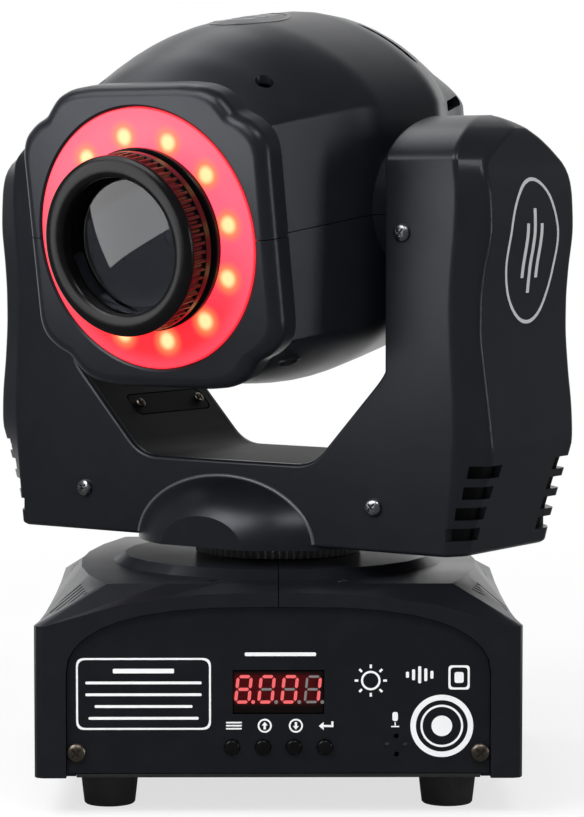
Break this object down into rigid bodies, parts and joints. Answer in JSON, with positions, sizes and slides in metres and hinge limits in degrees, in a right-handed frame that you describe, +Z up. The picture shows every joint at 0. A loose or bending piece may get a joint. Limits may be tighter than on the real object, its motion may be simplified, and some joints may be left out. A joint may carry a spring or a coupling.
{
  "type": "led moving head light",
  "caption": "Small moving head spotlight: a square base with display and buttons, a panning yoke and a tilting lamp head with a glowing ring round its focusing lens.",
  "frame": {"origin": "on the pan axis, on the underside of the base plate, where a hanging bracket is bolted; the rubber feet reach 12.5 mm below it", "axes": "+Z up along the pan axis, -Y out of the base's display panel, +X to the right seen from the front; the yoke rests panned 34.8 degrees to the left and the head tilted 8.6 degrees down"},
  "size_m": [0.2004, 0.1756, 0.2669],
  "materials": {
    "black_shell": "fine satin texture",
    "panel_black": "satin",
    "socket_black": "smooth",
    "rubber_black": "matt",
    "display_red": "tinted, lit",
    "ring_glow": "frosted, lit",
    "circuit_green": "solder mask",
    "zinc_steel": "zinc plated",
    "bright_steel": "ground",
    "bare_aluminium": "mill finish",
    "black_anodised": "black anodised",
    "lens_glass": "polished",
    "filter_glass": "coated"
  },
  "bodies": {
    "base": {"base_plate": "panel_black", "base_cover_left": "black_shell", "base_cover_right": "black_shell", "front_panel": "panel_black", "rear_panel": "panel_black", "display_module": "display_red", "control_board": "circuit_green", "microphone": "zinc_steel", "foot_front_left": "rubber_black", "foot_front_right": "rubber_black", "foot_rear_left": "rubber_black", "foot_rear_right": "rubber_black", "power_inlet": "socket_black", "fuse_holder": "socket_black", "signal_in_socket": "socket_black", "signal_out_socket": "socket_black", "power_supply": "bare_aluminium", "pan_motor": "zinc_steel", "pan_bridge": "zinc_steel", "pan_bearing": "bright_steel", "pan_belt": "rubber_black"},
    "menu_button": {"menu_button": "rubber_black"},
    "up_button": {"up_button": "rubber_black"},
    "down_button": {"down_button": "rubber_black"},
    "enter_button": {"enter_button": "rubber_black"},
    "pan_motor_pulley": {"pan_motor_pulley": "bare_aluminium"},
    "yoke": {"yoke_shell": "black_shell", "yoke_liner": "black_shell", "yoke_bracket": "zinc_steel", "pan_spindle": "bright_steel", "pan_pulley": "bare_aluminium", "pan_collar": "black_shell", "tilt_motor": "zinc_steel", "tilt_bearing_left": "bright_steel", "tilt_bearing_right": "bright_steel", "tilt_belt": "rubber_black", "cable_plate": "black_shell"},
    "tilt_motor_pulley": {"tilt_motor_pulley": "bare_aluminium"},
    "head": {"head_upper_shell": "black_shell", "head_lower_shell": "black_shell", "ring_diffuser": "ring_glow", "ring_board": "circuit_green", "lens_sleeve": "black_anodised", "head_chassis": "zinc_steel", "tilt_axle_left": "bright_steel", "tilt_axle_right": "bright_steel", "tilt_pulley": "bare_aluminium", "heatsink": "bare_aluminium", "led_board": "bare_aluminium", "condenser_lens": "lens_glass", "gobo_motor": "panel_black", "colour_motor": "panel_black", "fan_frame": "black_shell"},
    "lens_cell": {"lens_cell": "black_anodised", "front_lens": "lens_glass"},
    "focus_ring": {"focus_ring": "black_anodised"},
    "gobo_wheel": {"gobo_wheel": "panel_black"},
    "colour_wheel": {"colour_wheel": "filter_glass"},
    "fan_rotor": {"fan_rotor": "black_shell"}
  },
  "joints": [
    {"name": "pan", "type": "hinge", "parent": "base", "child": "yoke", "pos_m": [0, 0, 0], "axis": [0, 0, 1], "range_deg": [-235.2, 304.8]},
    {"name": "pan_motor_spin", "type": "hinge", "parent": "base", "child": "pan_motor_pulley", "pos_m": [0, -0.046, 0.0365], "axis": [0, 0, 1], "range_deg": [-1177, 1525]},
    {"name": "tilt", "type": "hinge", "parent": "yoke", "child": "head", "pos_m": [0, 0, 0.1875], "axis": [-0.8211, 0.5707, 0], "range_deg": [-16, 214]},
    {"name": "tilt_motor_spin", "type": "hinge", "parent": "yoke", "child": "tilt_motor_pulley", "pos_m": [0.07661, -0.05325, 0.118], "axis": [-0.8211, 0.5707, 0], "range_deg": [-41, 536]},
    {"name": "focus_slide", "type": "slide", "parent": "head", "child": "lens_cell", "axis": [-0.5643, -0.8119, -0.1495], "range_m": [-0.0018, 0.004]},
    {"name": "focus_turn", "type": "hinge", "parent": "lens_cell", "child": "focus_ring", "pos_m": [-0.04909, -0.07064, 0.17449], "axis": [-0.5643, -0.8119, -0.1495], "range_deg": [-160, 358]},
    {"name": "gobo_spin", "type": "hinge", "parent": "head", "child": "gobo_wheel", "pos_m": [-0.02094, 0.00492, 0.1863], "axis": [-0.5643, -0.8119, -0.1495], "continuous": true},
    {"name": "colour_spin", "type": "hinge", "parent": "head", "child": "colour_wheel", "pos_m": [0.01727, -0.0102, 0.18772], "axis": [-0.5643, -0.8119, -0.1495], "continuous": true},
    {"name": "fan_spin", "type": "hinge", "parent": "head", "child": "fan_rotor", "pos_m": [0.03216, 0.04628, 0.19602], "axis": [-0.5643, -0.8119, -0.1495], "continuous": true},
    {"name": "menu_press", "type": "slide", "parent": "base", "child": "menu_button", "axis": [0, 1, 0], "range_m": [0, 0.0005], "stiffness_N_per_m": 400},
    {"name": "up_press", "type": "slide", "parent": "base", "child": "up_button", "axis": [0, 1, 0], "range_m": [0, 0.0005], "stiffness_N_per_m": 400},
    {"name": "down_press", "type": "slide", "parent": "base", "child": "down_button", "axis": [0, 1, 0], "range_m": [0, 0.0005], "stiffness_N_per_m": 400},
    {"name": "enter_press", "type": "slide", "parent": "base", "child": "enter_button", "axis": [0, 1, 0], "range_m": [0, 0.0005], "stiffness_N_per_m": 400}
  ],
  "couplings": [
    {"joint": "pan_motor_spin", "follows": "pan", "ratio": 5},
    {"joint": "tilt_motor_spin", "follows": "tilt", "ratio": 2.5},
    {"joint": "focus_slide", "follows": "focus_turn", "m_per_rad": 0.00063662}
  ]
}
